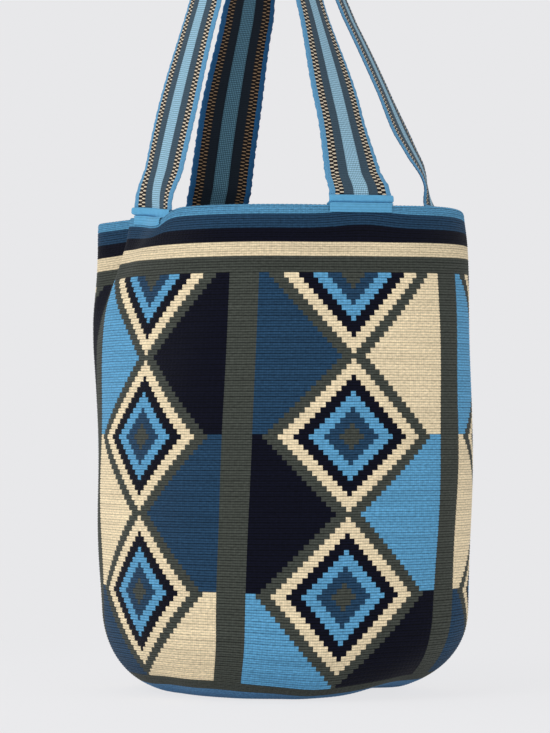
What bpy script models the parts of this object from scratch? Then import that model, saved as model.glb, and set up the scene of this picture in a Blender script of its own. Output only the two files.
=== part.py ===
"""Crocheted bucket bag with two woven strap handles.

Metres, +Z up. The bag stands on its flat base at Z = 0 with its front towards -Y. The body is one
crocheted piece: wall, rounded bottom corner and base. Each strap handle is sewn inside the rim at both
ends, and a folded light blue binding covers each strap end.
"""
import math

import bmesh
import bpy
from mathutils import Vector

# Body
BODY_HEIGHT = 0.325
BODY_RADIUS = 0.1222
WALL = 0.003
CORNER_HEIGHT = 0.055
BASE_SHARE = 0.61  # radius of the flat base, as a share of the wall's

# Section: the radius swells as cos(n * (turn - phase)), given as n, share and phase in degrees
MIDDLE_LOBES = ((2, 0.059, 72), (3, 0.014, -39), (4, 0.022, -7))
RIM_LOBES = ((2, 0.027, -60), (3, 0.025, 13), (4, 0.025, 2))  # added towards the rim
WIDEST_HEIGHT = 0.157
BARREL_SHARE = 0.056  # how much the wall draws in one BARREL_REACH above or below
BARREL_REACH = 0.157
RIM_LOBES_REACH = 0.150  # how far below the rim its own lobes reach

# Dents in the wall, and waves of the rim. Each has a turn, the turn's drift for each metre down, a half width to
# the left and to the right in degrees, a depth or rise, the drop where it starts to fade, and the length it fades in.
DENTS = (
    (-56.3, -196, 15.8, 10.0, 0.0112, 0.0, 0.071),
    (-85, 0, 6.8, 3.0, -0.0048, 0.0, 0.170),
    (66, 0, 17, 16.5, 0.0030, 0.0, 0.170),
)
CREASE = (-71.5, -45, 5.7, 2.8, 0.0120, 0.024, 0.068)
RIM_WAVES = (
    (-87, 0, 10, 10, -0.0046, 0.0, 0.170),
    (-37.4, -356, 16, 5.4, -0.0068, 0.0, 0.030),
    (100, 0, 32, 32, 0.003, 0.0, 0.170),
)

# Straps
STRAP_WIDTH = 0.046
STRAP_THICKNESS = 0.0022
STRAP_TUCK = 0.024  # how far the strap goes down inside the rim
STRAP_CUP = 0.0012
ARCH_RADIUS = 0.020
ARCH_HEIGHT = 0.215  # top of the handles above the rim
LEG_HEIGHT = 0.140
FREE_RISE = 0.020  # the sewn shape fades within this height above the binding
# Each leg: the turn where it is sewn, how far its left and right edge move over the rim, its place at LEG_HEIGHT,
# how far it swells on the way there, and the compass angles of its width as (height above the rim, degrees)
LEGS = {
    "front": (
        (-50, ((-0.0050, -0.0035), (0.0010, 0.0012)), (-0.0397, -0.056), (-0.002, 0),
         ((0.0, -44), (0.065, -43), (0.140, -50), (0.205, -90))),
        (43, ((0.0024, -0.0026), (0.0024, -0.0026)), (0.0317, -0.056), (0.002, 0),
         ((0.0, -137), (0.065, -115), (0.140, -99), (0.205, -90))),
    ),
    "back": (
        (-141, ((-0.0022, 0.0027), (-0.0022, 0.0027)), (-0.0390, 0.056), (-0.002, 0),
         ((0.0, 208), (0.065, 218), (0.140, 236), (0.205, 270))),
        (120, ((0.0030, 0.0018), (0.0030, 0.0018)), (0.0360, 0.056), (0, 0),
         ((0.0, 300), (0.020, 283), (0.065, 272), (0.205, 270))),
    ),
}
BINDING_RISE = 0.0065
BINDING_THICKNESS = 0.001
BINDING_EXTRA = 0.0012  # how far it stands out past each edge of the strap
CLEARANCE = 0.0005  # between layers that are sewn together
WALL_CLEARANCE = 0.0007

# Mesh steps
TURN_STEP = 6
CREASE_TURNS = (-84, -30)  # the columns are twice as close here
SHARP_ANGLE = 50
TURNING_STEPS = 8  # to go along the strap's curve
RIM_DROPS = (0.0, 0.004, 0.010, 0.018, 0.028, 0.040, 0.055, 0.075)
WALL_STEPS = 8
CORNER_STEPS = 8
STRAP_ACROSS = 6
LEG_STEPS = 12
ARCH_STEPS = 8

LIGHT_BLUE = (0.105, 0.335, 0.575)
GRAY_GREEN = (0.060, 0.066, 0.055)
PALE_AQUA = (0.180, 0.340, 0.420)


def smooth(value):
    value = min(1.0, max(0.0, value))
    return value * value * (3 - 2 * value)


def bump(turn, drop, shape):
    """How far a dent or wave goes at a place of the wall."""
    centre, drift, left, right, size, start, fade = shape
    away = (turn - centre - drift * drop + 180) % 360 - 180
    wide = math.exp(-0.5 * (away / (left if away < 0 else right)) ** 2)
    return size * wide * smooth(1 - (drop - start) / fade)


def lobes(turn, terms):
    return sum(share * math.cos(math.radians(n * (turn - phase))) for n, share, phase in terms)


def profile(drop):
    """Height, and the radius as a share of the wall's, at a distance down the surface from the rim."""
    wall = BODY_HEIGHT - CORNER_HEIGHT
    if drop <= wall:
        return BODY_HEIGHT - drop, 1.0
    corner = math.pi / 2 * min(1.0, (drop - wall) / corner_length())
    return CORNER_HEIGHT * (1 - math.sin(corner)), BASE_SHARE + (1 - BASE_SHARE) * math.cos(corner)


def corner_length():
    across = BODY_RADIUS * (1 - BASE_SHARE)
    return math.pi / 2 * math.sqrt((across**2 + CORNER_HEIGHT**2) / 2)


def wall_point(turn, drop, creased=True):
    """A point of the outer face. The turn is in degrees from -Y towards +X."""
    height, share = profile(drop)
    near_rim = smooth(1 - drop / RIM_LOBES_REACH)
    shape = 1 + lobes(turn, MIDDLE_LOBES) + near_rim * lobes(turn, RIM_LOBES)
    barrel = 1 - BARREL_SHARE * ((height - WIDEST_HEIGHT) / BARREL_REACH) ** 2
    radius = BODY_RADIUS * shape * barrel * share
    radius -= sum(bump(turn, drop, dent) for dent in DENTS)
    if creased:
        radius -= bump(turn, drop, CREASE)
    height += sum(bump(turn, drop, wave) for wave in RIM_WAVES)
    angle = math.radians(turn)
    return Vector((radius * math.sin(angle), -radius * math.cos(angle), height))


def inwards(turn, drop):
    """The level direction that points into the bag, square to the wall without its crease."""
    along = wall_point(turn + 1, drop, False) - wall_point(turn - 1, drop, False)
    return Vector((-along.y, along.x, 0)).normalized()


def layer_point(turn, drop, depth):
    """A point at a depth behind the outer face of the wall."""
    return wall_point(turn, drop, False) + depth * inwards(turn, drop)


def turn_along(turn, drop, distance):
    """The turn reached by going a distance along the strap that is sewn to the wall."""
    depth = strap_depth()
    for _ in range(TURNING_STEPS):
        speed = (layer_point(turn + 0.5, drop, depth) - layer_point(turn - 0.5, drop, depth)).length
        turn += distance / TURNING_STEPS / speed
    return turn


def new_material(name, color, roughness):
    material = bpy.data.materials.new(name)
    material.use_nodes = True
    shader = material.node_tree.nodes["Principled BSDF"]
    shader.inputs["Base Color"].default_value = (*color, 1)
    shader.inputs["Roughness"].default_value = roughness
    shader.inputs["Metallic"].default_value = 0
    return material


def new_object(name, rows, closed, material, thickness, offset, cap=False):
    """A loft through rows of points, given thickness by Solidify."""
    mesh = bpy.data.meshes.new(name)
    loft = bmesh.new()
    rings = [[loft.verts.new(point) for point in row] for row in rows]
    for upper, lower in zip(rings, rings[1:]):
        count = len(upper)
        for i in range(count if closed else count - 1):
            j = (i + 1) % count
            loft.faces.new((upper[i], lower[i], lower[j], upper[j]))
    if cap:
        loft.faces.new(list(reversed(rings[-1])))
    loft.to_mesh(mesh)
    loft.free()
    mesh.materials.append(material)
    mesh.shade_smooth()
    mesh.set_sharp_from_angle(angle=math.radians(SHARP_ANGLE))
    item = bpy.data.objects.new(name, mesh)
    collection.objects.link(item)
    shell = item.modifiers.new("thickness", "SOLIDIFY")
    shell.thickness = thickness
    shell.offset = offset
    shell.use_even_offset = True
    return item


def column_turns():
    first, last = CREASE_TURNS
    turns = []
    for i in range(360 // TURN_STEP):
        turn = -180 + i * TURN_STEP
        turns.append(turn)
        if first <= turn < last:
            turns.append(turn + TURN_STEP / 2)
    return turns


def make_body():
    """The crocheted bucket: an open lofted surface from the rim to the edge of the base, with the base."""
    wall_end = BODY_HEIGHT - CORNER_HEIGHT
    start = RIM_DROPS[-1]
    drops = list(RIM_DROPS)
    drops += [start + (wall_end - start) * (i + 1) / WALL_STEPS for i in range(WALL_STEPS)]
    drops += [wall_end + corner_length() * (i + 1) / CORNER_STEPS for i in range(CORNER_STEPS)]
    rows = [[wall_point(turn, drop) for turn in column_turns()] for drop in drops]
    material = new_material("crochet", GRAY_GREEN, 0.95)
    return new_object("crochet_body", rows, True, material, WALL, -1, cap=True)


def across_strap(extra=0.0):
    """Distances from the strap's middle line, with one more past each edge where a layer is wider."""
    places = [STRAP_WIDTH * (i / STRAP_ACROSS - 0.5) for i in range(STRAP_ACROSS + 1)]
    if extra:
        places = [places[0] - extra] + places + [places[-1] + extra]
    return places


def sewn_row(leg, drop, places, depth):
    """Points across a strap end, at a depth behind the outer face of the wall."""
    turn, shifts = leg[:2]
    free = smooth(-drop / BINDING_RISE)
    points = []
    for place in places:
        point = layer_point(turn_along(turn, drop, place), drop, depth)
        left = min(1, max(0, 0.5 - place / STRAP_WIDTH))
        for axis in (0, 1):
            point[axis] += (shifts[0][axis] * left + shifts[1][axis] * (1 - left)) * free
        points.append(point)
    return points


def strap_depth():
    """From the outer face of the wall to the middle of the strap."""
    layers = WALL + WALL_CLEARANCE + BINDING_THICKNESS + CLEARANCE
    return layers + STRAP_THICKNESS / 2


def leg_twist(stations, rise):
    """The compass angle of the strap's width, eased between the stations."""
    for (low, first), (high, second) in zip(stations, stations[1:]):
        if rise <= high:
            return first + (second - first) * smooth((rise - low) / (high - low))
    return stations[-1][1]


def leg_line(leg):
    """Where the leg leaves the rim, and its slope across and along the bag."""
    turn, shifts, place = leg[:3]
    root = wall_point(turn, 0, False) + strap_depth() * inwards(turn, 0)
    for axis in (0, 1):
        root[axis] += (shifts[0][axis] + shifts[1][axis]) / 2
    return root, Vector(((place[0] - root.x) / LEG_HEIGHT, (place[1] - root.y) / LEG_HEIGHT, 1))


def ribbon_row(centre, tangent, angle):
    """Points across a free stretch of strap, a little hollow on its inner face."""
    level = Vector((math.cos(math.radians(angle)), math.sin(math.radians(angle)), 0))
    across = (level - level.dot(tangent) * tangent).normalized()
    outwards = across.cross(tangent)
    points = []
    for i in range(STRAP_ACROSS + 1):
        side = 2 * i / STRAP_ACROSS - 1
        points.append(centre + across * side * STRAP_WIDTH / 2 - outwards * STRAP_CUP * side**2)
    return points


def leg_rows(leg, upwards):
    """Rows of one leg from its sewn end to the start of the arch, in the order of the handle's path."""
    bow, stations = leg[3:]
    root, slope = leg_line(leg)
    depth = strap_depth()
    top = ARCH_HEIGHT - ARCH_RADIUS
    side = 1 if upwards else -1
    places = [side * place for place in across_strap()]
    rows = [sewn_row(leg, drop, places, depth) for drop in (STRAP_TUCK, STRAP_TUCK / 2, 0, -BINDING_RISE)]
    start = rows[-1]
    for i in range(1, LEG_STEPS + 1):
        rise = BINDING_RISE + (top - BINDING_RISE) * i / LEG_STEPS
        share = min(1, rise / LEG_HEIGHT)
        swell = 4 * share * (1 - share)
        height = root.z + (BODY_HEIGHT + top - root.z) * rise / top
        centre = Vector((root.x + slope.x * rise + bow[0] * swell, root.y + slope.y * rise + bow[1] * swell, height))
        free = ribbon_row(centre, slope.normalized() * side, leg_twist(stations, rise))
        sewn = [point + Vector((0, 0, rise - BINDING_RISE)) for point in start]
        sewn_share = 1 - smooth((rise - BINDING_RISE) / FREE_RISE)
        rows.append([a.lerp(b, sewn_share) for a, b in zip(free, sewn)])
    return rows


def arch_rows(left_top, right_top, left_angle, right_angle):
    """Rows over the top of the handle, from one leg to the other."""
    rows = []
    middle = (left_top + right_top) / 2
    half = (right_top - left_top) / 2
    rise = BODY_HEIGHT + ARCH_HEIGHT - middle.z
    for i in range(1, ARCH_STEPS):
        angle = math.pi * i / ARCH_STEPS
        centre = middle - half * math.cos(angle) + Vector((0, 0, rise * math.sin(angle)))
        tangent = half * math.sin(angle) + Vector((0, 0, rise * math.cos(angle)))
        turn = left_angle + (right_angle - left_angle) * i / ARCH_STEPS
        rows.append(ribbon_row(centre, tangent.normalized(), turn))
    return rows


def leg_top(leg):
    root, slope = leg_line(leg)
    at = root + slope * (ARCH_HEIGHT - ARCH_RADIUS)
    return Vector((at.x, at.y, BODY_HEIGHT + ARCH_HEIGHT - ARCH_RADIUS))


def make_handle(side, materials):
    """One woven strap from its left end, over the arch, to its right end."""
    left, right = LEGS[side]
    rows = leg_rows(left, True)
    rows += arch_rows(leg_top(left), leg_top(right), left[4][-1][1], right[4][-1][1])
    rows += reversed(leg_rows(right, False))
    return new_object(f"{side}_handle", rows, False, materials["strap"], STRAP_THICKNESS, 0)


def make_binding(name, leg, materials):
    """A tape folded round the strap end: down its outer side, under it and up its inner side."""
    outer = WALL + WALL_CLEARANCE + BINDING_THICKNESS / 2
    inner = 2 * strap_depth() - outer
    places = across_strap(BINDING_EXTRA)
    down = (-BINDING_RISE, 0, STRAP_TUCK / 2, STRAP_TUCK + BINDING_THICKNESS)
    rows = [sewn_row(leg, drop, places, outer) for drop in down]
    rows.append(sewn_row(leg, STRAP_TUCK + 3 * BINDING_THICKNESS, places, strap_depth()))
    rows += [sewn_row(leg, drop, places, inner) for drop in reversed(down)]
    return new_object(name, rows, False, materials["binding"], BINDING_THICKNESS, 0)


def clear_scene():
    for item in list(bpy.data.objects):
        bpy.data.objects.remove(item, do_unlink=True)


clear_scene()
collection = bpy.data.collections.new("bucket_bag")
bpy.context.scene.collection.children.link(collection)
finishes = {
    "strap": new_material("strap", PALE_AQUA, 0.85),
    "binding": new_material("binding", LIGHT_BLUE, 0.85),
}
make_body()
for side_name, side_legs in LEGS.items():
    make_handle(side_name, finishes)
    for end_name, side_leg in zip(("left", "right"), side_legs):
        make_binding(f"{side_name}_{end_name}_binding", side_leg, finishes)
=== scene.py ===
"""Looks of the crocheted bucket bag: crochet stitches, woven straps, tape bindings, camera and light."""
import math

import bpy
import numpy as np
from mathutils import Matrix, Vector


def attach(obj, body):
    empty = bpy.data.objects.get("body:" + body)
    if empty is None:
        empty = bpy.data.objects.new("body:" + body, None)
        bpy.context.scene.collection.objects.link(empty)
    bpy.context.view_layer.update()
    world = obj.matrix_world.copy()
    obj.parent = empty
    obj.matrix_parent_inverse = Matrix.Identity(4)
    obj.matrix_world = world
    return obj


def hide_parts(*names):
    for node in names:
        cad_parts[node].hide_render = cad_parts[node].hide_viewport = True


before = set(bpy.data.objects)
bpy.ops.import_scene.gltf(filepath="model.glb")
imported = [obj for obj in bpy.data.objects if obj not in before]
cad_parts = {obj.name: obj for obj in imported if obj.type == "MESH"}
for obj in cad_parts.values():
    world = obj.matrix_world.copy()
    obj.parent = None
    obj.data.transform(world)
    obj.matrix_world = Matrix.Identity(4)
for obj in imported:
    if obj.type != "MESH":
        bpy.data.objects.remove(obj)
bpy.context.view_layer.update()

# The bag's body, as in the CAD model, which leaves out the last four waves of the rim
BODY_HEIGHT = 0.325
BODY_RADIUS = 0.1222
WALL = 0.003
CORNER_HEIGHT = 0.055
BASE_SHARE = 0.61
MIDDLE_LOBES = ((2, 0.059, 72), (3, 0.014, -39), (4, 0.022, -7))
RIM_LOBES = ((2, 0.027, -60), (3, 0.025, 13), (4, 0.025, 2))
WIDEST_HEIGHT = 0.157
BARREL_SHARE = 0.056
BARREL_REACH = 0.157
RIM_LOBES_REACH = 0.150
# Dents in the wall, and waves of the rim. Each has a turn, the turn's drift for each metre down, a half
# width to the left and to the right in degrees, a depth or rise, the drop where it starts to fade, and
# the length it fades in. The last wave fades in on the way down: it is the base's lifted right end.
DENTS = (
    (-56.3, -196, 15.8, 10.0, 0.0112, 0.0, 0.071),
    (-85, 0, 6.8, 3.0, -0.0048, 0.0, 0.170),
    (66, 0, 17, 16.5, 0.0030, 0.0, 0.170),
)
CREASE = (-71.5, -45, 5.7, 2.8, 0.0120, 0.024, 0.068)
RIM_WAVES = (
    (-87, 0, 10, 10, -0.0046, 0.0, 0.170),
    (-37.4, -356, 16, 5.4, -0.0068, 0.0, 0.030),
    (100, 0, 32, 32, 0.003, 0.0, 0.170),
    (104, 0, 12, 20, -0.0032, 0.0, 0.045),
    (-66, 0, 9, 9, -0.0012, 0.0, 0.012),
    (128, 0, 13, 20, -0.0035, 0.0, 0.040),
    (71, 0, 17, 22, 0.0064, 0.325, -0.060),
)
RING_POINTS = 721  # places round the wall where it is measured

# The straps, of the CAD model's width and length, with their turns and twists a little finer
STRAP_WIDTH = 0.046
STRAP_THICKNESS = 0.0022
STRAP_TUCK = 0.024
STRAP_CUP = 0.0012
STRAP_DEPTH = 0.0063  # from the wall's outer face to the middle of the strap
ARCH_RADIUS = 0.020
ARCH_HEIGHT = 0.215
LEG_HEIGHT = 0.140
SHIFT_RISE = 0.0030  # the edges move within this height above the rim
SWING_RISE = 0.034
SWING_REACH = 0.014
# Each leg has its turn, how far its left and right edge move above the rim, a place that it leads to, how
# far it swells on the way and swings to the right near the rim, the height in which it leaves its sewn
# shape, and the compass angles of its width.
LEGS = {
    "front": (
        (-50, ((-0.0050, -0.0035), (0.0010, 0.0012)), (-0.0408, -0.056), (-0.002, 0, 0), 0.028,
         ((0.0, -41), (0.065, -39), (0.140, -46), (0.205, -86))),
        (43, ((0.0024, -0.0026), (0.0024, -0.0026)), (0.0335, -0.056), (0.002, 0, 0), 0.016,
         ((0.0, -137), (0.065, -119), (0.140, -102), (0.205, -92))),
    ),
    "back": (
        (-141, ((-0.0022, 0.0027), (-0.0022, 0.0027)), (-0.0390, 0.056), (-0.002, 0, 0), 0.020,
         ((0.0, 208), (0.065, 214), (0.140, 231), (0.205, 266))),
        (120, ((-0.0010, 0.0030), (0.0085, 0.0005)), (0.0370, 0.056), (0.0030, 0, 0.0036), 0.0033,
         ((0.0, 272), (0.010, 272), (0.022, 280.5), (0.046, 268.5), (0.062, 266), (0.090, 269),
          (0.205, 272))),
    ),
}
SEWING_STEPS = 8  # steps in which a place across a strap end is found along the curved wall
STRAP_STEP = 0.0013
STRAP_ACROSS = 40

# The strap's corded edges: their place and width as shares of the half width, the thickness of the band and
# of the cords as shares of the whole, and how far the edges waver, with the weave and in longer waves
CORD_PLACE = 0.92
CORD_WIDTH = 0.06
BAND_THICKNESS = 0.72
CORD_THICKNESS = 0.2
CORD_EVEN = 0.6  # the even part of the cords, beside their bumps
WEAVE_WAVER = 0.00018
EDGE_WAVER = 0.0003
EDGE_WAVER_STEP = 0.0011
# How square the edges of a band are: a higher power rounds less
STRAP_EDGE_POWER = 14
TAPE_EDGE_POWER = 16
TAPE_END_POWER = 30

# The bindings
BINDING_RISE = 0.0062
BINDING_THICKNESS = 0.001
BINDING_EXTRA = 0.0008
BINDING_ACROSS = 41
BINDING_ALONG = 40
# Paths of the tape, from the wall's outer face over the rim and up the strap, and of the lining, down the
# strap's inner face. Each place is a drop from the rim and a depth behind the wall's outer face.
TAPE_PATH = (
    (0.0050, -0.0001), (0.0045, -0.0007), (0.0030, -0.0008), (0.0010, -0.0008), (-0.0002, -0.0005),
    (-0.0009, 0.0004), (-0.0009, 0.0016), (-0.0004, 0.0027), (-0.0002, 0.0034), (-0.0008, 0.0039),
    (-0.0020, 0.0042), (-0.0040, 0.0042), (-BINDING_RISE + 0.0006, 0.0043), (-BINDING_RISE, 0.0047),
    (-BINDING_RISE - 0.0001, 0.0052),
)
LINING_PATH = (
    (-BINDING_RISE - 0.0001, 0.0074), (-BINDING_RISE, 0.0079), (-BINDING_RISE + 0.0006, 0.0083),
    (-0.003, 0.0084), (0.0235, 0.0084), (0.0250, 0.0082), (0.0258, 0.0076), (0.0262, 0.0066),
)
# How far the strip over the rim is moved to the right, and how much narrower each half is
STRIPS = {
    ("front", "left"): (0.0003, 0.0),
    ("front", "right"): (-0.0014, 0.0012),
    ("back", "left"): (0.0, 0.0),
    ("back", "right"): (0.0, 0.0),
}
STRIP_START = -0.002  # the drop where the strip begins
STRIP_FADE = 0.003

# Crochet: stitches round the wall, rows down it
STITCHES = 230
BAND_ROWS = 14
FIELD_ROWS = 78
FIELD_END = BAND_ROWS + FIELD_ROWS
EDGE_ROWS = 3
BASE_ROW = 0.0035
BASE_INCREASE = 6.3  # stitches that each round of the base has more than the one inside it
BASE_END = 0.9995  # how far the rounds go towards the base's middle
BASE_MAP_REACH = 0.49  # the base's bake map is a disk, a little smaller than the map's square
ROW_PLACES = (0, 2, 5, 8, 11, 14, 29.5, 44.5, 59.5, 74.5, 92)
ROW_DROPS = (0.0015, 0.0065, 0.0158, 0.0247, 0.0340, 0.0446, 0.0992, 0.1515, 0.2019, 0.2538, 0.3150)
FRONT_STITCH = -22.0  # the stitch column at the middle of the front, counted from a panel's middle
LEAN = 0.0465  # stitches that the columns drift in each row
UPRIGHT_ROW = 44.9  # the row where the drift is nothing
COLUMN_SPREAD = 10.0  # degrees that the columns spread from SPREAD_TURN at the last row of the field
SPREAD_TURN = 20.0
SPREAD_ROW = 80
SPREAD_LIMIT = 1.25

# Where rows hang lower or higher. Widths are in degrees, and a list of rows has a share for each row.
SAG = 0.0100
SAG_TURN = 27.0
SAG_WIDTH = 20.0
SAG_ROWS = ((62, 0), (74.5, 0.18), (84, 0.42), (89, 0.5), (92, 0.95))
SAG_FADE_ROWS = 4
STRAP_PULL = 0.0026  # how much the front right strap lifts the bands under it
PULL_WIDTH = 9.0
PULL_ROWS = ((0, 0), (2, 1), (5, 1), (8, 0.1))
LOW_LIFT = 0.0013  # how much higher the last rows lie, but for those round SIDE_TURN, which sag
SIDE_SAG = 0.0065
SIDE_TURN = 70
SIDE_WIDTH = 15.0
SIDE_ROW = 76
SIDE_FADE_ROWS = 16

# Relief of the crochet
LEVELS_A_ROW = 4
COLUMNS_A_STITCH = 2
RIM_COLUMNS_A_STITCH = 6
ROW_RELIEF = 0.00030
ROW_PROFILE = ((0, -1.0), (0.25, 0.7), (0.5, -0.35), (0.75, 0.6), (1.0, -1.0))
STITCH_RELIEF = 0.00009
RIM_STEPS = 8
RIM_ROWS = 2  # rows of the map over the rim
RIM_LOOPS = 0.0003
LOOP_SLANT = 0.35
BELOW_RIM = 0.002  # how far down the wall's direction at the rim is measured
# Slow unevenness of the wall: a height, waves round the bag, their drift for each metre down, and a start
SOFT_WAVES = ((0.00045, 3, 55, 0.6), (0.0003, 7, -34, 2.1), (0.00022, 13, 71, 4.0))
WAVES_RIM_FADE = 0.02
WAVES_FADE_ROWS = 5
BASE_LIFT = 0.0004  # keeps the relief above the floor
LIFT_HEIGHT = 0.02

# Colours as sRGB values out of 255
LIGHT_BLUE = (93, 158, 198)
MEDIUM_BLUE = (37, 67, 94)
# the base's blue yarn, partly its own colour and partly painted light: lighter than the yarn, to stand in
# for light at the bottom near the floor
BASE_BLUE_PAINTED_LIGHT = (80, 126, 166)
NAVY = (12, 14, 29)
CREAM = (232, 214, 178)
GRAY_GREEN = (69, 73, 67)
AQUA = (134, 172, 191)
AQUA_BACK = (80, 118, 136)
SLATE = (56, 75, 88)
SLATE_BACK = (27, 36, 46)
BLACK = (22, 20, 22)
CHECK_CREAM = (210, 196, 172)
CHECK_BACK = (178, 146, 112)
EDGE_BLUE = (86, 141, 177)
EDGE_BACK = (38, 92, 138)
TAPE_BLUE = (89, 156, 194)
BACKDROP = (232, 232, 234)

# The pattern: one panel and the stripe beside it
PANELS = 5
PANEL = 46
STRIPE_LEFT = 25.5
STRIPE_RIGHT = 19.5
DIAMOND_ROWS = 30
LAST_CROSSING = 75.0  # the row of the field below which no new diamond starts
STITCH_LEAN = -0.05  # how far a stitch leans within its row
SECOND_KIND_END = 3.5  # panels of an even number up to here are of the second kind
# Triangles beside the diamonds, from the top down, on the left and on the right of both kinds of panel
TRIANGLES = (
    ((LIGHT_BLUE, CREAM, MEDIUM_BLUE), (NAVY, MEDIUM_BLUE, CREAM)),
    ((MEDIUM_BLUE, NAVY, LIGHT_BLUE), (CREAM, LIGHT_BLUE, NAVY)),
)
# Where each yarn ends: in stitches outside the diamond's outline, and in rows down from the rim. Each lies
# over the one before it.
DIAMOND_BANDS = (
    (2.5, GRAY_GREEN), (-0.5, CREAM), (-3.5, NAVY), (-6.5, LIGHT_BLUE), (-9.5, MEDIUM_BLUE),
    (-12.5, GRAY_GREEN),
)
RIM_BANDS = ((14, GRAY_GREEN), (11, CREAM), (8, NAVY), (5, MEDIUM_BLUE), (2, LIGHT_BLUE))

# Tone of the crochet. Each noise has its steps in a stitch and in a row, and each tone its lowest and
# highest value.
GROOVE_SHADE_NOISE = (1.1, 2.0)
YARN_NOISE = (1.3, 2.6)
ROW_NOISE = (0.05, 0.9)
FIBRE_NOISE = (19.8, 13.5)
GROOVE_SHADE_REACH = (0.03, 0.29)  # how far the painted shade of a groove reaches into a row, as a share of it
GROOVE_LIGHT = (0.06, 0.63)  # light that the painted groove shade keeps, in black and in white yarn
MIDDLE_GROOVE_SHADE = 0.75  # how strong the painted shade of the groove along a row's middle is
YARN_TONE = (0.5, 1.5)
ROW_TONE = (0.75, 1.25)
STRAND_TONE = 0.06
INNER_TONE = 0.85
BAND_PAINTED_SHADE = 0.9  # painted shade: the bands above the field are darker, and their first rows once more
FIRST_SHADED_ROWS = 2
LEG_SHARE = 0.8  # of the fine relief, for the legs of the stitches and for the fibres
FIBRE_SHARE = 0.6

# Stripes of the strap, as shares of its half width, and the steps of its weave
AQUA_EDGE = 0.235
SLATE_EDGE = 0.55
CHECKS_EDGE = 0.82
CHECK_PITCH = 0.00255
DIAMOND_PITCH = 0.00136
REVERSE_START = 1e4  # millimetres along a band where the map of its reverse starts
LINING_START = 100.0  # millimetres along the tape where the map of the lining starts

# Tone of the strap and the tape. Each noise has its steps across and along.
FUZZ_NOISE = (3.0, 2.6)
DIAMOND_SHARE = 0.6  # of the aqua stripe's tone; the rest is fuzz
AQUA_DOTS = (0.3, 0.75)
AQUA_TONE = (0.52, 1.47)
AQUA_BACK_DOTS = (0.4, 0.8)
AQUA_BACK_TONE = (0.5, 2.0)
RIB_TONE = 0.2
SLATE_TONE = (0.6, 1.3)
# Grains of the checks, in steps of the weave: half a grain, how much less it is on the reverse and towards
# its sides, how soft its ends are, and how unevenly it lies
GRAIN_SIZE = 0.18
GRAIN_BACK = 0.06
GRAIN_ROUND = 0.32
GRAIN_SOFT = 0.07
GRAIN_SHIFT = 0.16
CHECK_TONE = (0.75, 1.25)
EDGE_TONE = (0.55, 1.45)
RIB_SHARE = 0.5  # of the fine relief, for the ribs and for the fuzz
FUZZ_SHARE = 0.8
TAPE_GRAIN = (60.0, 1.6)
TAPE_CLOUD = (6.0, 0.3)
TAPE_TONE = (0.65, 1.0)  # where grain and cloud add up to 0 and to 1
STRIP_LENGTH = 6.4  # millimetres of the tape where rows of yarn show through
STRIP_ROW = 1.8
STRIP_DARK = 0.25

# How each cloth takes light, and its fine relief in metres with its strength
FINISH_INPUTS = ("Roughness", "Specular IOR Level", "Sheen Weight", "Sheen Roughness")
CROCHET_FINISH = (0.95, 0.1, 0.06, 0.4)
STRAP_FINISH = (0.9, 0.12, 0.05, 0.5)
TAPE_FINISH = (0.9, 0.12, 0.06, 0.5)
CROCHET_FINE_RELIEF = (0.0004, 0.7)
STRAP_FINE_RELIEF = (0.0003, 0.6)
TAPE_FINE_RELIEF = (0.0002, 0.5)

# Camera, from the photograph: compass angle, distance, eye height and the lens in pixels of the picture
CAMERA_ANGLE = 13.5
CAMERA_DISTANCE = 2.2
EYE_HEIGHT = 0.178
LENS_PIXELS = 3217
PICTURE_WIDTH = 550
PICTURE_HEIGHT = 733
HORIZON_Y = 430
AXIS_X = 281.4
SENSOR = 36

# The studio. The floor keeps its shadow near the bag and has the backdrop's colour farther out.
STUDIO_LIGHT = 0.75
FLOOR_REACH = 40.0
FLOOR_GLOW = 0.27
SHADOW_REACH = (0.15, 0.6)  # metres from the bag's middle, from where the shadow fades and where it ends
PLAIN_NEAR = 0.88  # share of the floor's plain colour beside the bag
LIGHT_TARGET = (0, 0, 0.2)
# Lamps: name, place, side length and power
LIGHTS = (
    ("key", (-1.0, -2.0, 1.8), 1.6, 30),
    ("fill", (2.0, -1.4, 1.1), 1.4, 12),
    ("side", (-2.3, 0.5, 0.5), 1.0, 12),
)


def linear(color):
    """A colour out of 255 in sRGB as linear values."""
    values = []
    for part in color:
        part /= 255
        values.append(part / 12.92 if part <= 0.04045 else ((part + 0.055) / 1.055) ** 2.4)
    return (*values, 1.0)


def smooth(value):
    value = np.clip(value, 0.0, 1.0)
    return value * value * (3 - 2 * value)


def bell(away, width):
    """1 in the middle and softly down to 0 on both sides."""
    return np.exp(-0.5 * (away / width) ** 2)


def away_from(turn, centre):
    """Degrees from a centre to a turn, between -180 and 180."""
    return (turn - centre + 180) % 360 - 180


def read_off(value, stations):
    """The amount at a value, on straight lines between stations of a place and an amount."""
    places, amounts = zip(*stations)
    return np.interp(value, places, amounts)


def unit(vectors):
    return vectors / np.maximum(np.linalg.norm(vectors, axis=-1, keepdims=True), 1e-12)


def lengths_along(points):
    """How far along a line of points each of them is."""
    steps = np.linalg.norm(np.diff(points, axis=0), axis=1)
    return np.concatenate(([0], np.cumsum(steps)))


def round_edges(across, power):
    """Thickness across a band as a share, rounded at both edges."""
    return np.sqrt(np.clip(1 - np.abs(across) ** power, 0, 1))


def bump(turn, drop, shape):
    """How far a dent or wave goes at a place of the wall."""
    centre, drift, left, right, size, start, fade = shape
    away = away_from(turn, centre + drift * drop)
    return size * bell(away, np.where(away < 0, left, right)) * smooth(1 - (drop - start) / fade)


def lobes(turn, terms):
    return sum(share * np.cos(np.radians(n * (turn - phase))) for n, share, phase in terms)


def corner_length():
    inwards = BODY_RADIUS * (1 - BASE_SHARE)
    return math.pi / 2 * math.sqrt((inwards**2 + CORNER_HEIGHT**2) / 2)


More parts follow.
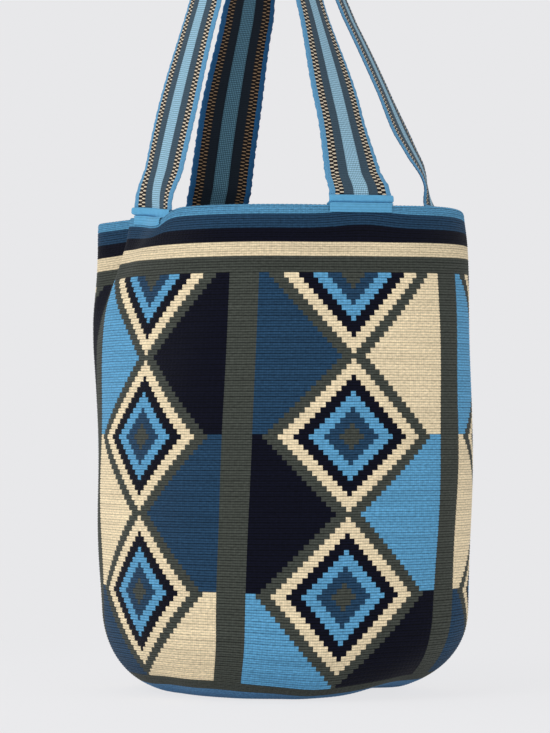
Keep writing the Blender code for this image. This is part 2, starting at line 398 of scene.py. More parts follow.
def wall_points(turn, drop, creased=True):
    """Points of the outer face, for arrays of turns in degrees and distances down from the rim."""
    turn, drop = np.broadcast_arrays(np.asarray(turn, float), np.asarray(drop, float))
    wall = BODY_HEIGHT - CORNER_HEIGHT
    corner = np.clip((drop - wall) / corner_length(), 0, 1) * math.pi / 2
    height = np.where(drop <= wall, BODY_HEIGHT - drop, CORNER_HEIGHT * (1 - np.sin(corner)))
    share = BASE_SHARE + (1 - BASE_SHARE) * np.cos(corner)
    over = np.clip(drop - wall - corner_length(), 0, None)
    share = share - over / BODY_RADIUS
    near_rim = smooth(1 - drop / RIM_LOBES_REACH)
    shape = 1 + lobes(turn, MIDDLE_LOBES) + near_rim * lobes(turn, RIM_LOBES)
    barrel = 1 - BARREL_SHARE * ((height - WIDEST_HEIGHT) / BARREL_REACH) ** 2
    radius = BODY_RADIUS * shape * barrel * share
    radius = radius - sum(bump(turn, drop, dent) for dent in DENTS)
    if creased:
        radius = radius - bump(turn, drop, CREASE)
    waves = sum(bump(turn, drop, wave) for wave in RIM_WAVES)
    height = height + waves * np.clip(share / BASE_SHARE, 0, 1)
    angle = np.radians(turn)
    return np.stack((radius * np.sin(angle), -radius * np.cos(angle), height), axis=-1)


def turns_of(stitches, drop):
    """The turn of each stitch column on one level, so that all stitches there are as wide."""
    dense = np.linspace(0, 360, RING_POINTS)
    round_it = lengths_along(wall_points(dense, drop))
    share = (stitches - FRONT_STITCH) / STITCHES
    whole = np.floor(share)
    return np.interp((share - whole) * round_it[-1], round_it, dense) + 360 * whole


def drop_of(row):
    """Distance down the wall from the rim to a row."""
    return np.interp(row, ROW_PLACES, ROW_DROPS) + BASE_ROW * np.clip(row - ROW_PLACES[-1], 0, None)


def last_row_of_corner():
    """The last whole row of the corner; the flat rounds of the base come next."""
    length = BODY_HEIGHT - CORNER_HEIGHT + corner_length()
    return math.floor(ROW_PLACES[-1] + (length - ROW_DROPS[-1]) / BASE_ROW)


def grid_normals(points, closed):
    """Directions square to a grid of points, for rows going down and columns going right."""
    if closed:
        across = np.roll(points, -1, axis=1) - np.roll(points, 1, axis=1)
    else:
        across = np.gradient(points, axis=1)
    down = np.gradient(points, axis=0)
    return unit(np.cross(down, across))


def grid_piece(name, points, closed, maps, material, flip=False):
    """A mesh through a grid of points. Each map gives every grid corner its place, and has one column more
    than a closed grid."""
    rows, columns = points.shape[:2]
    across = columns if closed else columns - 1
    i, j = np.meshgrid(np.arange(rows - 1), np.arange(across), indexing="ij")
    here = i * columns
    right = (j + 1) % columns
    faces = np.stack((here + j, here + columns + j, here + columns + right, here + right), -1)
    corners = [(i, j), (i + 1, j), (i + 1, j + 1), (i, j + 1)]
    if flip:
        faces = faces[..., ::-1]
        corners = corners[::-1]
    mesh = bpy.data.meshes.new(name)
    count = faces.shape[0] * faces.shape[1]
    mesh.vertices.add(rows * columns)
    mesh.vertices.foreach_set("co", points.reshape(-1).astype(np.float32))
    mesh.loops.add(count * 4)
    mesh.loops.foreach_set("vertex_index", faces.reshape(-1).astype(np.int32))
    mesh.polygons.add(count)
    mesh.polygons.foreach_set("loop_start", np.arange(0, count * 4, 4, dtype=np.int32))
    for map_name, places in maps.items():
        layer = mesh.uv_layers.new(name=map_name)
        uv = np.stack([places[a, b] for a, b in corners], axis=2)
        layer.uv.foreach_set("vector", uv.reshape(-1).astype(np.float32))
    mesh.update(calc_edges=True)
    mesh.validate()
    mesh.shade_smooth()
    mesh.materials.append(material)
    item = bpy.data.objects.new(name, mesh)
    bpy.context.scene.collection.objects.link(item)
    return item


def place_piece(item, node):
    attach(item, "root")
    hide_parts(node)


class Nodes:
    """Short calls for building a material's nodes."""

    def __init__(self, name, world=False):
        self.material = (bpy.data.worlds if world else bpy.data.materials).new(name)
        self.material.use_nodes = True
        self.tree = self.material.node_tree
        self.shader = self.tree.nodes["Background" if world else "Principled BSDF"]

    def new(self, kind, **settings):
        node = self.tree.nodes.new(kind)
        for key, value in settings.items():
            setattr(node, key, value)
        return node

    def put(self, value, socket):
        if isinstance(value, bpy.types.NodeSocket):
            self.tree.links.new(value, socket)
        else:
            socket.default_value = value

    def math(self, operation, *values):
        node = self.new("ShaderNodeMath", operation=operation)
        for value, socket in zip(values, node.inputs):
            self.put(value, socket)
        return node.outputs[0]

    def plus(self, first, second):
        return self.math("ADD", first, second)

    def minus(self, first, second):
        return self.math("SUBTRACT", first, second)

    def times(self, first, second):
        return self.math("MULTIPLY", first, second)

    def modulo(self, value, length):
        return self.math("FLOORED_MODULO", value, length)

    def floor(self, value):
        return self.math("FLOOR", value)

    def fract(self, value):
        return self.math("FRACT", value)

    def absolute(self, value):
        return self.math("ABSOLUTE", value)

    def under(self, value, limit):
        """1 where a value is under a limit, and 0 elsewhere."""
        return self.math("LESS_THAN", value, limit)

    def over(self, value, limit):
        """1 where a value is over a limit, and 0 elsewhere."""
        return self.math("GREATER_THAN", value, limit)

    def span(self, value, low, high):
        """low where a value is 0 and high where it is 1, on a straight line."""
        return self.plus(self.times(value, high - low), low)

    def step(self, value, low, high):
        """0 at low and 1 at high, with a soft change between."""
        node = self.new("ShaderNodeMapRange", interpolation_type="SMOOTHSTEP")
        for place, part in zip((0, 1, 2), (value, low, high)):
            self.put(part, node.inputs[place])
        return node.outputs[0]

    def green(self, color):
        """How bright a colour is, from its green part."""
        node = self.new("ShaderNodeSeparateColor")
        self.put(color, node.inputs[0])
        return node.outputs[1]

    def seen(self):
        """1 for what the camera sees, directly or by reflection, and 0 for light that falls on the bag."""
        rays = self.new("ShaderNodeLightPath").outputs
        direct = self.math("MAXIMUM", rays["Is Camera Ray"], rays["Is Glossy Ray"])
        return self.math("MAXIMUM", direct, rays["Is Transmission Ray"])

    def mix(self, share, first, second):
        node = self.new("ShaderNodeMix", data_type="RGBA")
        self.put(share, node.inputs["Factor"])
        self.put(first, node.inputs["A"])
        self.put(second, node.inputs["B"])
        return node.outputs["Result"]

    def shade(self, color, share):
        """A colour made darker or lighter by a number."""
        node = self.new("ShaderNodeVectorMath", operation="SCALE")
        self.put(color[:3] if isinstance(color, tuple) else color, node.inputs[0])
        self.put(share, node.inputs["Scale"])
        return node.outputs[0]

    def map_place(self, map_name):
        place = self.new("ShaderNodeUVMap", uv_map=map_name)
        split = self.new("ShaderNodeSeparateXYZ")
        self.tree.links.new(place.outputs[0], split.inputs[0])
        return split.outputs[0], split.outputs[1]

    def noise(self, x, y, steps, layer=0.0, detail=2.0):
        """Soft noise around a half, with so many steps in each unit of x and of y."""
        place = self.new("ShaderNodeCombineXYZ")
        for value, socket in zip((self.times(x, steps[0]), self.times(y, steps[1]), layer), place.inputs):
            self.put(value, socket)
        node = self.new("ShaderNodeTexNoise")
        node.inputs["Scale"].default_value = 1.0
        node.inputs["Detail"].default_value = detail
        self.tree.links.new(place.outputs[0], node.inputs["Vector"])
        return node.outputs["Fac"]

    def cloth(self, color, height, fine_relief, finish):
        """Gives the shader its colour, fine relief and finish."""
        inputs = self.shader.inputs
        self.put(color, inputs["Base Color"])
        for name, value in zip(FINISH_INPUTS, finish):
            inputs[name].default_value = value
        node = self.new("ShaderNodeBump")
        node.inputs["Distance"].default_value, node.inputs["Strength"].default_value = fine_relief
        self.put(height, node.inputs["Height"])
        self.put(node.outputs[0], inputs["Normal"])
        return self.material


def triangle_color(n, upper, lower, colors):
    """The colour of the triangles on one side of a panel, with upper and lower 1 in their rows."""
    top, middle, bottom = (linear(color) for color in colors)
    return n.mix(lower, n.mix(upper, middle, top), bottom)


def pattern_color(n, stitch, row):
    """The yarn's colour at a stitch and row: bands, stripes, diamonds in diamonds and triangles."""
    leaning = n.plus(stitch, n.times(n.minus(n.fract(row), 0.5), STITCH_LEAN))
    column = n.floor(n.plus(leaning, 0.5))
    whole_row = n.floor(row)
    place = n.plus(column, STRIPE_LEFT)
    panel = n.modulo(n.floor(n.math("DIVIDE", place, PANEL)), PANELS)
    across = n.minus(n.modulo(place, PANEL), STRIPE_LEFT)
    field = n.minus(whole_row, BAND_ROWS)
    rise = n.absolute(n.minus(n.modulo(field, DIAMOND_ROWS), DIAMOND_ROWS / 2))
    rise = n.math("MINIMUM", rise, n.minus(LAST_CROSSING, field))
    step = n.minus(n.absolute(across), rise)
    upper = n.under(field, DIAMOND_ROWS - 0.5)
    lower = n.over(field, 2 * DIAMOND_ROWS - 0.5)
    on_right = n.over(across, 0.0)
    kinds = []
    for left_colors, right_colors in TRIANGLES:
        left = triangle_color(n, upper, lower, left_colors)
        right = triangle_color(n, upper, lower, right_colors)
        kinds.append(n.mix(on_right, left, right))
    even = n.under(n.modulo(panel, 2.0), 0.5)
    second = n.times(even, n.under(panel, SECOND_KIND_END))
    color = n.mix(second, *kinds)
    for limit, yarn in DIAMOND_BANDS:
        color = n.mix(n.under(step, limit), color, linear(yarn))
    color = n.mix(n.under(across, -STRIPE_RIGHT), color, linear(GRAY_GREEN))
    for limit, yarn in RIM_BANDS:
        color = n.mix(n.under(whole_row, limit - 0.5), color, linear(yarn))
    color = n.mix(n.over(whole_row, FIELD_END - 0.5), color, linear(GRAY_GREEN))
    # the last rows of the corner in the base's blue, lightened by painted light
    return n.mix(n.over(whole_row, FIELD_END + EDGE_ROWS - 0.5), color, linear(BASE_BLUE_PAINTED_LIGHT))


def painted_groove_shade(n, stitch, row, color):
    """Painted shade in the grooves between rows and along each row's middle, deepest in dark yarn."""
    off_middle = n.absolute(n.minus(n.fract(row), 0.5))
    reach = n.span(n.noise(stitch, row, GROOVE_SHADE_NOISE), *GROOVE_SHADE_REACH)
    between = n.step(off_middle, 0.5, n.minus(0.5, reach))
    middle = n.step(off_middle, 0.0, reach)
    depth = n.span(n.math("SQRT", n.green(color)), *GROOVE_LIGHT)
    lines = n.times(between, n.span(middle, 1.0 - MIDDLE_GROOVE_SHADE, 1.0))
    return n.plus(depth, n.times(lines, n.minus(1.0, depth)))


def crochet_material(name, inner=False, base=False):
    """Cotton yarn in rows of single crochet, with painted shade in the grooves between rows and over the
    bands at the top, and uneven tone in the yarn.
    """
    n = Nodes(name)
    stitch, row = n.map_place("Stitches")
    if base:
        # the map goes from 0 to 1 round the base, and each round has its own number of stitches
        stitches = n.times(n.plus(n.floor(row), 1.0), BASE_INCREASE)
        stitch = n.times(stitch, n.floor(stitches))
        # the base's blue, lightened by painted light
        color = linear(BASE_BLUE_PAINTED_LIGHT)
    else:
        color = pattern_color(n, stitch, row)
    # painted shade in the grooves between rows and along each row's middle
    tone = painted_groove_shade(n, stitch, row, color)
    # uneven yarn, from stitch to stitch and in long stretches
    tone = n.times(tone, n.span(n.noise(stitch, row, YARN_NOISE, layer=3.0), *YARN_TONE))
    tone = n.times(tone, n.span(n.noise(stitch, row, ROW_NOISE), *ROW_TONE))
    strands = n.math("COSINE", n.times(stitch, 2 * math.tau))
    tone = n.times(tone, n.span(strands, 1.0, 1.0 + STRAND_TONE))
    if inner:
        tone = n.times(tone, INNER_TONE)
    elif not base:
        # painted shade over the bands at the top, and once more over their first rows
        for rows in (FIRST_SHADED_ROWS, BAND_ROWS):
            tone = n.times(tone, n.span(n.under(row, rows), 1.0, BAND_PAINTED_SHADE))
    # the two legs of each stitch and the twist of the yarn
    legs = n.math("PINGPONG", n.plus(stitch, n.times(n.fract(row), 0.5)), 0.5)
    fibre = n.noise(stitch, row, FIBRE_NOISE, detail=3.0)
    height = n.plus(n.times(legs, LEG_SHARE), n.times(fibre, FIBRE_SHARE))
    return n.cloth(n.shade(color, tone), height, CROCHET_FINE_RELIEF, CROCHET_FINISH)


def row_height(row):
    """Relief of the crochet at a place down a row: two ridges, with a groove between rows."""
    return ROW_RELIEF * read_off(row % 1.0, ROW_PROFILE)


def stitch_height(stitch, row):
    """Relief along a row: each stitch is a little proud, and the next row's are half a stitch over."""
    lean = stitch + 0.5 * (row % 1.0)
    return STITCH_RELIEF * np.cos(2 * math.pi * lean)


def soft_waves(turn, drop):
    """Slow unevenness of a soft wall."""
    angle = np.radians(turn)
    waves = sum(size * np.sin(n * angle + drift * drop + start) for size, n, drift, start in SOFT_WAVES)
    return waves * smooth(drop / WAVES_RIM_FADE)


def floor_lift(points):
    """How much points near the floor are lifted, so that the relief stays above it."""
    return BASE_LIFT * smooth(1 - points[..., 2] / LIFT_HEIGHT)


def on_face(relief, inner):
    """Relief outwards from the outer face, or for the inner face, behind the wall and the other way."""
    return -WALL - relief if inner else relief


def stitch_columns(columns):
    """Stitches of so many columns, from the middle of the back round to the same column again."""
    return np.arange(columns + 1) / columns * STITCHES - STITCHES // 2


def column_turns(stitches, row, drop):
    """The turn of each column on one row: columns drift, and spread at the front where the corner begins."""
    turns = turns_of(stitches - LEAN * (row - UPRIGHT_ROW), drop)
    gone = max((row - SPREAD_ROW) / (ROW_PLACES[-1] - SPREAD_ROW), 0.0)
    spread = COLUMN_SPREAD * min(gone, SPREAD_LIMIT) ** 2
    return turns + spread * np.sin(np.radians(turns - SPREAD_TURN))


def row_sag(turn, row):
    """How much lower the rows hang at a turn, near the base and under the front right strap."""
    low = SAG * bell(away_from(turn, SAG_TURN), SAG_WIDTH) * read_off(row, SAG_ROWS)
    strap_turn = LEGS["front"][1][0]
    pulled = STRAP_PULL * bell(away_from(turn, strap_turn), PULL_WIDTH) * read_off(row, PULL_ROWS)
    lifted = LOW_LIFT - SIDE_SAG * bell(away_from(turn, SIDE_TURN), SIDE_WIDTH)
    return low - pulled - lifted * smooth((row - SIDE_ROW) / SIDE_FADE_ROWS)


def crochet_grid(first_row, last_row, columns):
    """Stitches and rows of a grid on the wall, and the drop and turn of each of its corners."""
    levels = int((last_row - first_row) * LEVELS_A_ROW) + 1
    rows = np.linspace(first_row, last_row, levels)
    stitches = stitch_columns(columns)
    drops = drop_of(rows)
    turns = np.array([column_turns(stitches[:-1], row, drop) for row, drop in zip(rows, drops)])
    fade = smooth((last_row_of_corner() - rows) / SAG_FADE_ROWS)
    drops = drops[:, None] + row_sag(turns, rows[:, None]) * fade[:, None]
    return stitches, rows, drops, turns


def make_wall(name, first_row, last_row, material, columns, inner=False):
    """A stretch of the wall between two rows, with its rows and stitches as relief."""
    stitches, rows, drops, turns = crochet_grid(first_row, last_row, columns)
    points = wall_points(turns, drops)
    relief = row_height(rows)[:, None] + stitch_height(stitches[None, :-1], rows[:, None])
    fade = smooth((last_row_of_corner() - rows) / WAVES_FADE_ROWS)
    relief = on_face(relief + soft_waves(turns, drops) * fade[:, None], inner)
    points = points + grid_normals(points, True) * relief[..., None]
    points[..., 2] += floor_lift(points)
    grid_rows = np.repeat(rows[:, None], columns + 1, axis=1)
    grid_stitches = np.repeat(stitches[None, :], len(rows), axis=0)
    share_rows = (grid_rows - first_row) / (last_row - first_row)
    share_stitches = (grid_stitches - stitches[0]) / STITCHES
    maps = {
        "OFBake": np.stack((share_stitches, 1 - share_rows), -1),
        "Stitches": np.stack((grid_stitches, grid_rows), -1),
    }
    item = grid_piece(name, points, True, maps, material, flip=inner)
    place_piece(item, "crochet_body")


def make_rim(material, columns):
    """The last loops over the rim, between the wall's outer and inner face."""
    stitches = stitch_columns(columns)
    drop = float(drop_of(0))
    turns = column_turns(stitches[:-1], 0, drop)
    ring = wall_points(turns, drop)
    up = unit(ring - wall_points(turns, drop + BELOW_RIM))
    out = unit(np.cross(up, np.roll(ring, -1, axis=0) - np.roll(ring, 1, axis=0)))
    out *= np.sign(np.sum(out[:, :2] * ring[:, :2], axis=1))[:, None]
    middle = ring - out * WALL / 2
    rows = []
    for angle in np.linspace(math.pi, 0, RIM_STEPS + 1):
        # slanting loops: each is proud in its middle
        loops = np.abs(np.sin(math.pi * (stitches[:-1] + LOOP_SLANT * math.cos(angle))))
        radius = WALL / 2 + RIM_LOOPS * (loops - 0.5) * math.sin(angle)
        rows.append(middle + (out * math.cos(angle) + up * math.sin(angle)) * radius[:, None])
    grid_rows = np.repeat(np.linspace(-RIM_ROWS, 0, RIM_STEPS + 1)[:, None], columns + 1, axis=1)
    grid_stitches = np.repeat(stitches[None, :], RIM_STEPS + 1, axis=0)
    maps = {
        "OFBake": np.stack(((grid_stitches - stitches[0]) / STITCHES, 1 + grid_rows / RIM_ROWS), -1),
        "Stitches": np.stack((grid_stitches, grid_rows), -1),
    }
    item = grid_piece("crochet_rim", np.array(rows), True, maps, material)
    place_piece(item, "crochet_body")


def make_base(name, material, columns, inner=False):
    """The flat rounds between the corner and the middle of the base."""
    start = float(drop_of(last_row_of_corner()))
    end = BODY_HEIGHT - CORNER_HEIGHT + corner_length() + BASE_SHARE * BODY_RADIUS
    rounds = (end - start) / BASE_ROW
    gone = np.linspace(0, rounds, int(rounds * LEVELS_A_ROW) + 1) * BASE_END
    turns = column_turns(stitch_columns(columns)[:-1], last_row_of_corner(), start)
    points = wall_points(turns[None, :], start + gone[:, None] * BASE_ROW)
    left = rounds - gone
    relief = on_face(row_height(gone) * smooth(left / 2), inner)
    points[..., 2] += floor_lift(points) - relief[:, None]
    grid_left = np.repeat(left[:, None], columns + 1, axis=1)
    share = np.repeat(np.arange(columns + 1)[None, :] / columns, len(gone), axis=0)
    reach = BASE_MAP_REACH * grid_left / rounds
    disk = (0.5 + reach * np.cos(share * math.tau), 0.5 + reach * np.sin(share * math.tau))
    maps = {"OFBake": np.stack(disk, -1), "Stitches": np.stack((share, grid_left), -1)}
    item = grid_piece(name, points, True, maps, material, flip=inner)
    place_piece(item, "crochet_body")


def make_body():
    outside = crochet_material("crochet_outside")
    inside = crochet_material("crochet_inside", inner=True)
    fine = STITCHES * COLUMNS_A_STITCH
    coarse = STITCHES // 2
    half = BAND_ROWS + FIELD_ROWS // 2
    make_wall("crochet_bands", 0, BAND_ROWS, outside, fine)
    make_wall("crochet_field_upper", BAND_ROWS, half, outside, fine)
    make_wall("crochet_field_lower", half, FIELD_END, outside, fine)
    make_wall("crochet_corner", FIELD_END, last_row_of_corner(), outside, fine)
    make_wall("crochet_inside", 0, last_row_of_corner(), inside, coarse, inner=True)
    make_rim(outside, STITCHES * RIM_COLUMNS_A_STITCH)
    make_base("crochet_base", crochet_material("crochet_base", base=True), STITCHES)
    base_inside = crochet_material("crochet_base_inside", inner=True, base=True)
    make_base("crochet_base_inside", base_inside, coarse, inner=True)


def inwards(turn, drop):
    """The level direction that points into the bag, square to the wall without its crease."""
    along = wall_points(turn + 1, drop, False) - wall_points(turn - 1, drop, False)
    return unit(np.stack((-along[..., 1], along[..., 0], np.zeros(along.shape[:-1])), -1))


def layer_points(turn, drop, depth):
    return wall_points(turn, drop, False) + np.asarray(depth)[..., None] * inwards(turn, drop)


def sewn_row(leg, drop, places, depth):
    """Points across a strap end, at a depth behind the outer face of the wall."""
    turn, shifts = leg[:2]
    turns = np.full(places.shape, float(turn))
    for _ in range(SEWING_STEPS):
        ahead = layer_points(turns + 0.5, drop, STRAP_DEPTH)
        degree = np.linalg.norm(ahead - layer_points(turns - 0.5, drop, STRAP_DEPTH), axis=-1)
        turns = turns + places / SEWING_STEPS / degree
    points = layer_points(turns, drop, depth)
    left = np.clip(0.5 - places / STRAP_WIDTH, 0, 1)[:, None]
    shift = np.array(shifts[0]) * left + np.array(shifts[1]) * (1 - left)
    points[:, :2] += shift * float(smooth(-drop / SHIFT_RISE))
    return points


def leg_twist(stations, rise):
    """The compass angle of the strap's width, eased between the stations."""
    for (low, first), (high, second) in zip(stations, stations[1:]):
        if rise <= high:
            return first + (second - first) * float(smooth((rise - low) / (high - low)))
    return stations[-1][1]


def leg_line(leg):
    """Where the leg leaves the rim, and its slope across and along the bag."""
    turn, place = leg[0], leg[2]
    root = wall_points(turn, 0.0, False)
    edges = np.array([-1, 1]) * STRAP_WIDTH / 2
    root[:2] = sewn_row(leg, -BINDING_RISE, edges, STRAP_DEPTH).mean(axis=0)[:2]
    return root, np.array([(place[0] - root[0]) / LEG_HEIGHT, (place[1] - root[1]) / LEG_HEIGHT, 1.0])


def ribbon_row(centre, tangent, angle, sides):
    """Points across a free stretch of strap, a little hollow on its inner face."""
    level = np.array([math.cos(math.radians(angle)), math.sin(math.radians(angle)), 0])
    across = unit(level - level.dot(tangent) * tangent)
    hollow = np.cross(across, tangent) * STRAP_CUP * sides[:, None] ** 2
    return centre + sides[:, None] * across * STRAP_WIDTH / 2 - hollow


def leg_rows(leg, sides, upwards):
    """Rows of one leg from its sewn end up to the start of the arch. Its sides are turned round where the
    handle's path comes down."""
    bow, free_rise, stations = leg[3:]
    root, slope = leg_line(leg)
    side = 1 if upwards else -1
    places = side * sides * STRAP_WIDTH / 2
    top = ARCH_HEIGHT - ARCH_RADIUS
    start = sewn_row(leg, -BINDING_RISE, places, STRAP_DEPTH)
    tangent = unit(slope) * side
    rows = []
    for rise in np.arange(-STRAP_TUCK, top, STRAP_STEP):
        if rise <= BINDING_RISE:
            rows.append(sewn_row(leg, -rise, places, STRAP_DEPTH))
            continue
        share = min(rise / LEG_HEIGHT, 1.0)
        swell = 4 * share * (1 - share)
        height = root[2] + (BODY_HEIGHT + top - root[2]) * rise / top
        swing = bow[2] * bell(rise - SWING_RISE, SWING_REACH)
        centre = np.array([root[0] + slope[0] * rise + bow[0] * swell + swing,
                           root[1] + slope[1] * rise + bow[1] * swell, height])
        free = ribbon_row(centre, tangent, leg_twist(stations, rise), sides)
        sewn = start + np.array([0, 0, rise - BINDING_RISE])
        rows.append(free + (sewn - free) * (1 - float(smooth((rise - BINDING_RISE) / free_rise))))
    return rows


def arch_rows(left_top, right_top, left_angle, right_angle, sides):
    """Rows over the top of the handle, from one leg to the other."""
    middle = (left_top + right_top) / 2
    half = (right_top - left_top) / 2
    rise = BODY_HEIGHT + ARCH_HEIGHT - middle[2]
    rows = []
    steps = round(math.pi * float(np.linalg.norm(half)) / STRAP_STEP)
    for i in range(1, steps):
        angle = math.pi * i / steps
        centre = middle - half * math.cos(angle) + np.array([0, 0, rise * math.sin(angle)])
        tangent = unit(half * math.sin(angle) + np.array([0, 0, rise * math.cos(angle)]))
        twist = left_angle + (right_angle - left_angle) * i / steps
        rows.append(ribbon_row(centre, tangent, twist, sides))
    return rows


def leg_top(leg):
    root, slope = leg_line(leg)
    at = root + slope * (ARCH_HEIGHT - ARCH_RADIUS)
    return np.array([at[0], at[1], BODY_HEIGHT + ARCH_HEIGHT - ARCH_RADIUS])


def band_piece(name, grid, half, across, along, material, node):
    """A flat band with thickness: the grid is its middle, and a ring goes over its face and its reverse."""
    thickness = grid_normals(grid, False) * half[..., None]
    ring = np.concatenate((grid + thickness, (grid - thickness)[:, ::-1]), axis=1)
    there = np.concatenate((across, across[::-1], across[:1]))
    side = np.concatenate((np.zeros(len(across)), np.full(len(across) + 1, REVERSE_START)))
    rows = len(grid)
    columns = len(there)
    weave = np.stack((np.repeat(there[None, :], rows, 0), along[:, None] + side[None, :]), -1)
    share_across = np.repeat(np.arange(columns)[None, :] / (columns - 1), rows, 0)
    share_along = np.repeat((along - along[0])[:, None] / (along[-1] - along[0]), columns, 1)
    maps = {"OFBake": np.stack((share_across, share_along), -1), "Weave": weave}
    item = grid_piece(name, ring, True, maps, material)
    place_piece(item, node)


def check_color(n, off_middle, step, reverse, fuzz):
    """Black and cream checks: two columns of grains, the second half a step on."""
    place = n.math("DIVIDE", n.minus(off_middle, SLATE_EDGE), (CHECKS_EDGE - SLATE_EDGE) / 2)
    end = n.absolute(n.minus(n.fract(place), 0.5))
    shift = n.plus(n.times(n.floor(place), 0.5), n.times(fuzz, GRAIN_SHIFT))
    off = n.absolute(n.minus(n.fract(n.plus(step, shift)), 0.5))
    size = n.minus(GRAIN_SIZE, n.times(reverse, GRAIN_BACK))
    size = n.minus(size, n.times(n.times(end, end), GRAIN_ROUND))
    grain = n.step(off, n.plus(size, GRAIN_SOFT), n.minus(size, GRAIN_SOFT))
    cream = n.mix(reverse, linear(CHECK_CREAM), linear(CHECK_BACK))
    return n.shade(n.mix(grain, linear(BLACK), cream), n.span(fuzz, *CHECK_TONE))


def aqua_color(n, wide, step, reverse, fuzz):
    """Aqua birdseye weave: small diamonds."""
    slant = n.times(wide, 0.5 * CHECK_PITCH / DIAMOND_PITCH)
    rise = n.times(step, 0.5 * CHECK_PITCH / DIAMOND_PITCH)
    first = n.math("COSINE", n.times(n.plus(rise, slant), math.tau))
    second = n.math("COSINE", n.times(n.minus(rise, slant), math.tau))
    diamonds = n.span(n.times(first, second), 0.5, 1.0)
    weave = n.plus(n.times(diamonds, DIAMOND_SHARE), n.times(fuzz, 1.0 - DIAMOND_SHARE))
    face = n.shade(linear(AQUA), n.span(n.step(weave, *AQUA_DOTS), *AQUA_TONE))
    back = n.shade(linear(AQUA_BACK), n.span(n.step(weave, *AQUA_BACK_DOTS), *AQUA_BACK_TONE))
    return n.mix(reverse, face, back)


def strap_material():
    """A band woven on a loom: an aqua middle, slate ribs, black and cream checks and corded edges."""
    n = Nodes("woven_strap")
    across, along = n.map_place("Weave")
    reverse = n.under(along, REVERSE_START / 2)
    off_middle = n.absolute(across)
    wide = n.times(across, STRAP_WIDTH / 2 / CHECK_PITCH)
    step = n.math("DIVIDE", n.modulo(along, REVERSE_START), CHECK_PITCH * 1000)
    fuzz = n.noise(wide, step, FUZZ_NOISE, layer=reverse, detail=3.0)
    ribs = n.math("SINE", n.times(step, 2 * math.tau))
    slate_tone = n.plus(n.times(ribs, RIB_TONE), n.span(fuzz, *SLATE_TONE))
    slate = n.shade(n.mix(reverse, linear(SLATE), linear(SLATE_BACK)), slate_tone)
    edge = n.shade(n.mix(reverse, linear(EDGE_BLUE), linear(EDGE_BACK)), n.span(fuzz, *EDGE_TONE))
    checks = check_color(n, off_middle, step, reverse, fuzz)
    color = n.mix(n.under(off_middle, CHECKS_EDGE), edge, checks)
    color = n.mix(n.under(off_middle, SLATE_EDGE), color, slate)
    aqua = aqua_color(n, wide, step, reverse, fuzz)
    color = n.mix(n.under(off_middle, AQUA_EDGE), color, aqua)
    height = n.plus(n.times(n.absolute(ribs), RIB_SHARE), n.times(fuzz, FUZZ_SHARE))
    return n.cloth(color, height, STRAP_FINE_RELIEF, STRAP_FINISH)


def tape_material():
    """Plain cotton tape, close to the light blue yarn, with yarn rows showing through over the rim."""
    n = Nodes("binding_tape")
    across, along = n.map_place("Weave")
    along = n.modulo(along, REVERSE_START)
    grain = n.noise(across, along, TAPE_GRAIN, detail=3.0)
    cloud = n.noise(across, along, TAPE_CLOUD)
    tone = n.span(n.plus(grain, cloud), *TAPE_TONE)
    rows = n.absolute(n.math("SINE", n.times(along, math.pi / STRIP_ROW)))
    rows = n.times(n.minus(1.0, rows), n.under(along, STRIP_LENGTH))
    tone = n.times(tone, n.span(rows, 1.0, 1.0 - STRIP_DARK))
    return n.cloth(n.shade(linear(TAPE_BLUE), tone), grain, TAPE_FINE_RELIEF, TAPE_FINISH)


def make_strap(side, material):
    """One strap in three pieces, so that each piece's weave is fine enough."""
    sides = np.sin(np.linspace(-1, 1, STRAP_ACROSS + 1) * math.pi / 2)
    left, right = LEGS[side]
    left_rows = leg_rows(left, sides, True)
    right_rows = leg_rows(right, sides, False)[::-1]
    top_angles = [stations[-1][1] for *_, stations in (left, right)]
    middle = arch_rows(leg_top(left), leg_top(right), *top_angles, sides)
    grid = np.array(left_rows + middle + right_rows)
    along = lengths_along(grid[:, STRAP_ACROSS // 2])
    # corded edges, thicker than the middle and bumpy along the strap
    weave = along / CHECK_PITCH * math.tau
    bumps = 0.5 + 0.5 * np.sin(weave)
    cords = CORD_THICKNESS * bell(np.abs(sides) - CORD_PLACE, CORD_WIDTH)
    share = BAND_THICKNESS + cords[None, :] * (CORD_EVEN + bumps[:, None])
    half = STRAP_THICKNESS / 2 * round_edges(sides, STRAP_EDGE_POWER)[None, :] * share
    waver = WEAVE_WAVER * np.sin(weave + 1.0) + EDGE_WAVER * np.sin(along / EDGE_WAVER_STEP)
    outwards = unit(grid[:, -1] - grid[:, 0])
    grid = grid + outwards[:, None, :] * (waver[:, None] * sides[None, :] ** 3)[..., None]
    arch_start = len(left_rows) - 1
    arch_end = len(left_rows) + len(middle)
    parts = (("left", 0, arch_start), ("arch", arch_start, arch_end), ("right", arch_end, len(grid) - 1))
    for part, first, last in parts:
        cut = slice(first, last + 1)
        band_piece(f"{side}_strap_{part}", grid[cut], half[cut], sides, along[cut] * 1000, material,
                   f"{side}_handle")


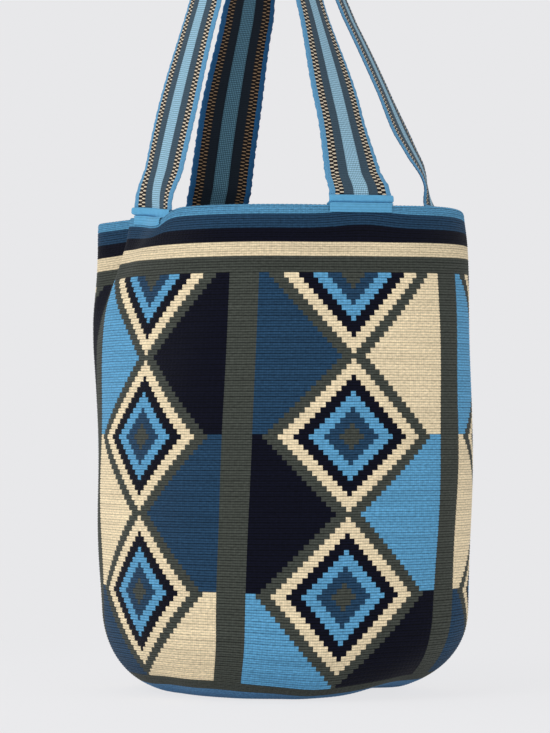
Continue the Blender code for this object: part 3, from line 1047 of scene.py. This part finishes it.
def make_binding(side, end, leg, material):
    """Tape folded over the rim and up the strap's outer face, and tape on the strap's inner face."""
    across = np.linspace(-1, 1, BINDING_ACROSS)
    ends = round_edges(np.linspace(-1, 1, BINDING_ALONG), TAPE_END_POWER)
    half = BINDING_THICKNESS / 2 * ends[:, None] * round_edges(across, TAPE_EDGE_POWER)[None, :]
    slide, narrow = STRIPS[side, end]
    for name, path, extra, start in (
        ("tape", np.array(TAPE_PATH), BINDING_EXTRA, 0.0),
        ("lining", np.array(LINING_PATH), -BINDING_EXTRA, LINING_START),
    ):
        gone = lengths_along(path)
        along = np.linspace(0, gone[-1], BINDING_ALONG)
        grid = []
        for place in along:
            drop = np.interp(place, gone, path[:, 0])
            depth = np.interp(place, gone, path[:, 1])
            strip = float(smooth((drop - STRIP_START) / STRIP_FADE)) if name == "tape" else 0.0
            half_width = STRAP_WIDTH / 2 + extra - narrow * strip
            grid.append(sewn_row(leg, drop, across * half_width + slide * strip, depth))
        band_piece(f"{side}_{end}_{name}", np.array(grid), half, across, along * 1000 + start, material,
                   f"{side}_{end}_binding")


def make_straps():
    weave = strap_material()
    tape = tape_material()
    for side, legs in LEGS.items():
        make_strap(side, weave)
        for end, leg in zip(("left", "right"), legs):
            make_binding(side, end, leg, tape)


def make_stage():
    """A wide pale floor. It keeps the bag's shadow nearby and has the backdrop's colour farther out."""
    reach = np.array((-1, 1)) * FLOOR_REACH
    points = np.array([[(x, y, 0.0) for x in reach] for y in reach])
    n = Nodes("floor")
    n.shader.inputs["Base Color"].default_value = linear(BACKDROP)
    n.shader.inputs["Roughness"].default_value = 1.0
    n.shader.inputs["Specular IOR Level"].default_value = 0.0
    n.shader.inputs["Emission Color"].default_value = linear(BACKDROP)
    n.shader.inputs["Emission Strength"].default_value = FLOOR_GLOW
    glow = n.new("ShaderNodeEmission")
    glow.inputs["Color"].default_value = linear(BACKDROP)
    far = n.new("ShaderNodeVectorMath", operation="LENGTH")
    n.put(n.new("ShaderNodeTexCoord").outputs["Object"], far.inputs[0])
    plain = n.span(n.step(far.outputs["Value"], *SHADOW_REACH), PLAIN_NEAR, 1.0)
    blend = n.new("ShaderNodeMixShader")
    n.put(n.times(n.seen(), plain), blend.inputs[0])
    n.put(n.shader.outputs[0], blend.inputs[1])
    n.put(glow.outputs[0], blend.inputs[2])
    n.put(blend.outputs[0], n.tree.nodes["Material Output"].inputs["Surface"])
    stage = grid_piece("floor", points, False, {}, n.material, flip=True)


def make_light(name, place, size, power):
    """A square lamp that faces the bag."""
    lamp = bpy.data.lights.new(name, "AREA")
    lamp.size = size
    lamp.energy = power
    item = bpy.data.objects.new(name, lamp)
    bpy.context.scene.collection.objects.link(item)
    item.location = place
    item.rotation_euler = (Vector(LIGHT_TARGET) - Vector(place)).to_track_quat("-Z", "Y").to_euler()


def make_lights():
    n = Nodes("studio", world=True)
    n.shader.inputs["Color"].default_value = linear(BACKDROP)
    n.put(n.span(n.seen(), STUDIO_LIGHT, 1.0), n.shader.inputs["Strength"])
    bpy.context.scene.world = n.material
    for light in LIGHTS:
        make_light(*light)


def make_camera():
    angle = math.radians(CAMERA_ANGLE)
    right = Vector((math.cos(angle), math.sin(angle), 0))
    away = Vector((-math.sin(angle), math.cos(angle), 0))
    pixel = CAMERA_DISTANCE / LENS_PIXELS
    aim = right * (PICTURE_WIDTH / 2 - AXIS_X) * pixel
    aim += Vector((0, 0, EYE_HEIGHT + (HORIZON_Y - PICTURE_HEIGHT / 2) * pixel))
    eye = Vector((aim.x, aim.y, EYE_HEIGHT)) - away * CAMERA_DISTANCE
    data = bpy.data.cameras.new("camera")
    data.sensor_fit = "VERTICAL"
    data.sensor_height = SENSOR
    data.lens = SENSOR * LENS_PIXELS / PICTURE_HEIGHT
    camera = bpy.data.objects.new("camera", data)
    bpy.context.scene.collection.objects.link(camera)
    camera.location = eye
    camera.rotation_euler = (aim - eye).to_track_quat("-Z", "Y").to_euler()
    bpy.context.scene.camera = camera


make_camera()
make_stage()
make_lights()
make_body()
make_straps()
bpy.context.scene.view_settings.view_transform = "Standard"
